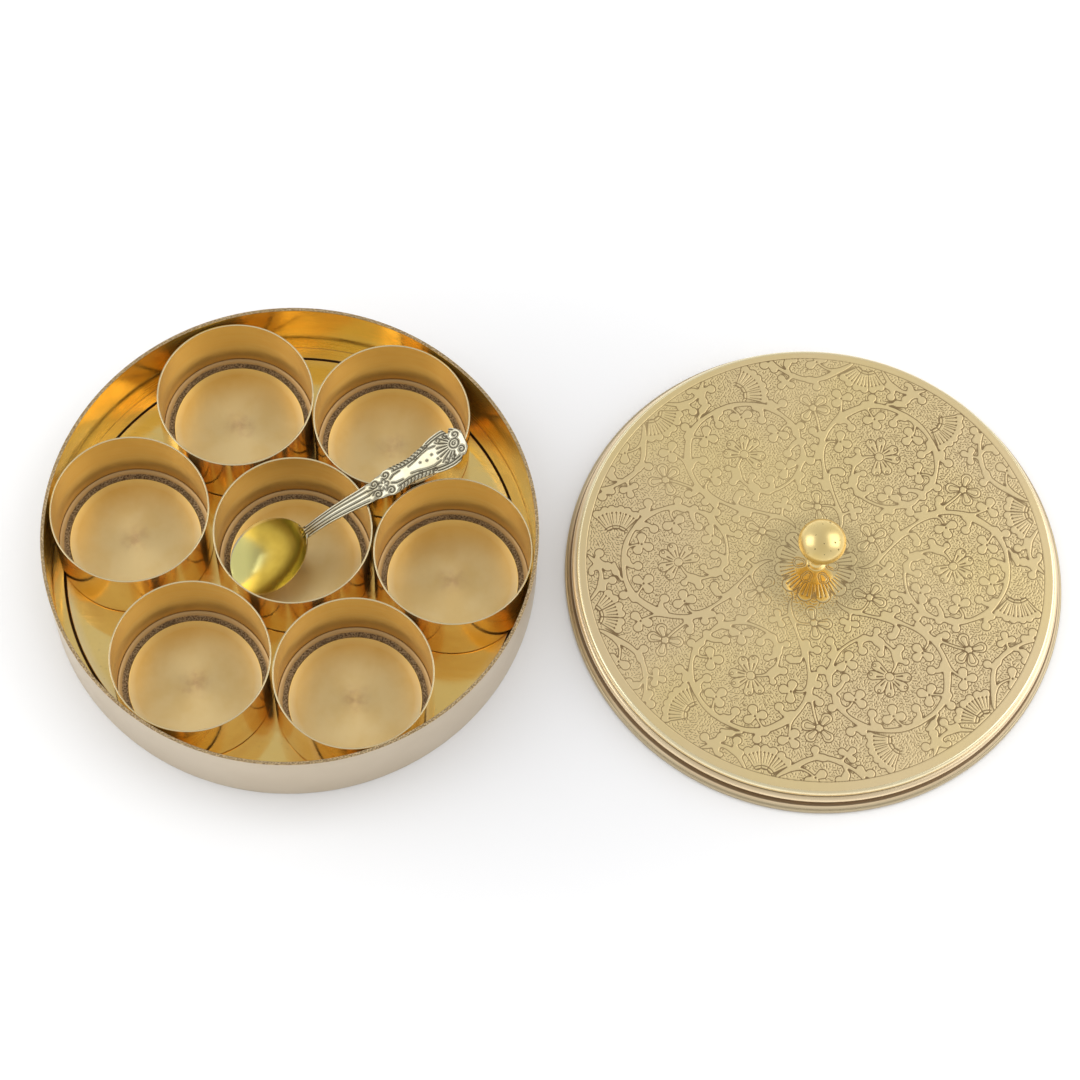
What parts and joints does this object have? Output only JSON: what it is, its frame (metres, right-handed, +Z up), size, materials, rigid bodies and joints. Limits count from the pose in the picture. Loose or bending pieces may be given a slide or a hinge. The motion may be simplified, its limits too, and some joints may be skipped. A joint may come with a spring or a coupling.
{
  "type": "spice box",
  "caption": "Round brass spice box with loose round cups in an open case, a small ornate spoon leaning in the middle cup, and an engraved lid with a knob lying beside it.",
  "frame": {"origin": "centre of the case's underside, on the surface that everything stands on", "axes": "+Z up, +X from the case towards the lid lying beside it, -Y towards the viewer"},
  "size_m": [0.4669, 0.2407, 0.062],
  "materials": {
    "case_wall_brass": "polished inside, satin outside",
    "case_floor_brass": "mirror polished with fine brush marks",
    "cup_wall_brass": "satin inside, polished outside",
    "cup_floor_brass": "lathe-turned satin",
    "solder": "dull, oxidised",
    "spoon_silver": "bright silver plate with dark oxidised hollows, gilt bowl",
    "lid_plate_brass": "engraved, satin polished",
    "lid_band_brass": "turned and polished",
    "knob_brass": "mirror polished",
    "fastener_brass": "as turned",
    "fastener_steel": "as made"
  },
  "bodies": {
    "case": {"case_wall": "case_wall_brass", "case_floor": "case_floor_brass", "case_solder_ring": "solder"},
    "cup_1": {"cup_1_wall": "cup_wall_brass", "cup_1_floor": "cup_floor_brass", "cup_1_seam": "solder"},
    "cup_2": {"cup_2_wall": "cup_wall_brass", "cup_2_floor": "cup_floor_brass", "cup_2_seam": "solder"},
    "cup_3": {"cup_3_wall": "cup_wall_brass", "cup_3_floor": "cup_floor_brass", "cup_3_seam": "solder"},
    "cup_4": {"cup_4_wall": "cup_wall_brass", "cup_4_floor": "cup_floor_brass", "cup_4_seam": "solder"},
    "cup_5": {"cup_5_wall": "cup_wall_brass", "cup_5_floor": "cup_floor_brass", "cup_5_seam": "solder"},
    "cup_6": {"cup_6_wall": "cup_wall_brass", "cup_6_floor": "cup_floor_brass", "cup_6_seam": "solder"},
    "cup_7": {"cup_7_wall": "cup_wall_brass", "cup_7_floor": "cup_floor_brass", "cup_7_seam": "solder"},
    "spoon": {"spoon": "spoon_silver"},
    "lid": {"lid_plate": "lid_plate_brass", "lid_band": "lid_band_brass", "lid_solder_ring": "solder", "knob": "knob_brass", "knob_washer": "fastener_brass", "knob_screw": "fastener_steel"}
  },
  "joints": [
    {"name": "cup_1_lift", "type": "slide", "parent": "case", "child": "cup_1", "axis": [0, 0, 1], "range_m": [0, 0.06]},
    {"name": "cup_2_lift", "type": "slide", "parent": "case", "child": "cup_2", "axis": [0, 0, 1], "range_m": [0, 0.06]},
    {"name": "cup_3_lift", "type": "slide", "parent": "case", "child": "cup_3", "axis": [0, 0, 1], "range_m": [0, 0.06]},
    {"name": "cup_4_lift", "type": "slide", "parent": "case", "child": "cup_4", "axis": [0, 0, 1], "range_m": [0, 0.06]},
    {"name": "cup_5_lift", "type": "slide", "parent": "case", "child": "cup_5", "axis": [0, 0, 1], "range_m": [0, 0.06]},
    {"name": "cup_6_lift", "type": "slide", "parent": "case", "child": "cup_6", "axis": [0, 0, 1], "range_m": [0, 0.06]},
    {"name": "cup_7_lift", "type": "slide", "parent": "case", "child": "cup_7", "axis": [0, 0, 1], "range_m": [0, 0.06]},
    {"name": "spoon_lift", "type": "slide", "parent": "cup_1", "child": "spoon", "axis": [0, 0, 1], "range_m": [0, 0.12]},
    {"name": "lid_lift", "type": "slide", "parent": "case", "child": "lid", "axis": [0, 0, 1], "range_m": [0, 0.12]}
  ],
  "couplings": [
    {"joint": "cup_2_lift", "follows": "spoon_lift", "ratio": 0.5},
    {"joint": "cup_3_lift", "follows": "spoon_lift", "ratio": 0.5}
  ]
}
